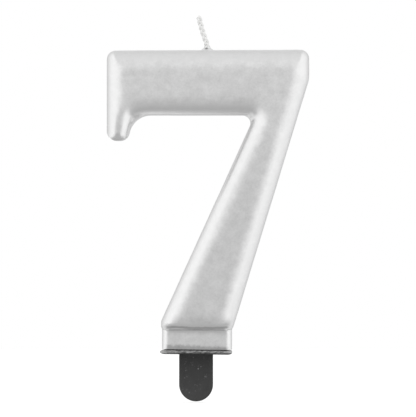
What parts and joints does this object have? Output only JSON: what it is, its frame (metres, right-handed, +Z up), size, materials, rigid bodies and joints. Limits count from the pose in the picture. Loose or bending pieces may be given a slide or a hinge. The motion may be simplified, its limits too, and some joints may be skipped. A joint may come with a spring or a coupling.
{
  "type": "number birthday candle",
  "caption": "Moulded wax candle shaped as the figure 7 under a silver lacquer coat, with a plaited wick and a flat plastic pick that stands it in a cake.",
  "frame": {"origin": "under the middle of the digit's bar, halfway through the thickness, level with the tip of the pick's tongue (the bottom centre of the bounding box at rest)", "axes": "+Z up, from the tongue's tip to the wick; the front of the digit faces -Y; +X to the right as the digit is read"},
  "size_m": [0.0516, 0.013, 0.0987],
  "materials": {
    "black_plastic": "moulded black plastic, satin, with overspray on the plate's edge",
    "paraffin": "plain white candle wax",
    "silver_lacquer": "satin metallic silver lacquer",
    "cotton": "plaited cotton yarn, white"
  },
  "bodies": {
    "pick": {"pick": "black_plastic"},
    "candle": {"wax_core": "paraffin", "silver_coat": "silver_lacquer", "wick_yarn_a_buried": "cotton", "wick_yarn_b_buried": "cotton", "wick_yarn_c_buried": "cotton"},
    "wick_lower": {"wick_yarn_a_lower": "cotton", "wick_yarn_b_lower": "cotton", "wick_yarn_c_lower": "cotton"},
    "wick_upper": {"wick_yarn_a_upper": "cotton", "wick_yarn_b_upper": "cotton", "wick_yarn_c_upper": "cotton"}
  },
  "joints": [
    {"name": "candle_lift", "type": "slide", "parent": "pick", "child": "candle", "axis": [0, 0, 1], "range_m": [0, 0.012]},
    {"name": "wick_bend", "type": "hinge", "parent": "candle", "child": "wick_lower", "pos_m": [-0.00025, 0, 0.0912], "axis": [0, 1, 0], "range_deg": [-40, 40]},
    {"name": "wick_tip_bend", "type": "hinge", "parent": "wick_lower", "child": "wick_upper", "pos_m": [-0.0015, 0, 0.095], "axis": [0, 1, 0], "range_deg": [-40, 40]}
  ],
  "couplings": [
    {"joint": "wick_tip_bend", "follows": "wick_bend", "ratio": 1}
  ]
}
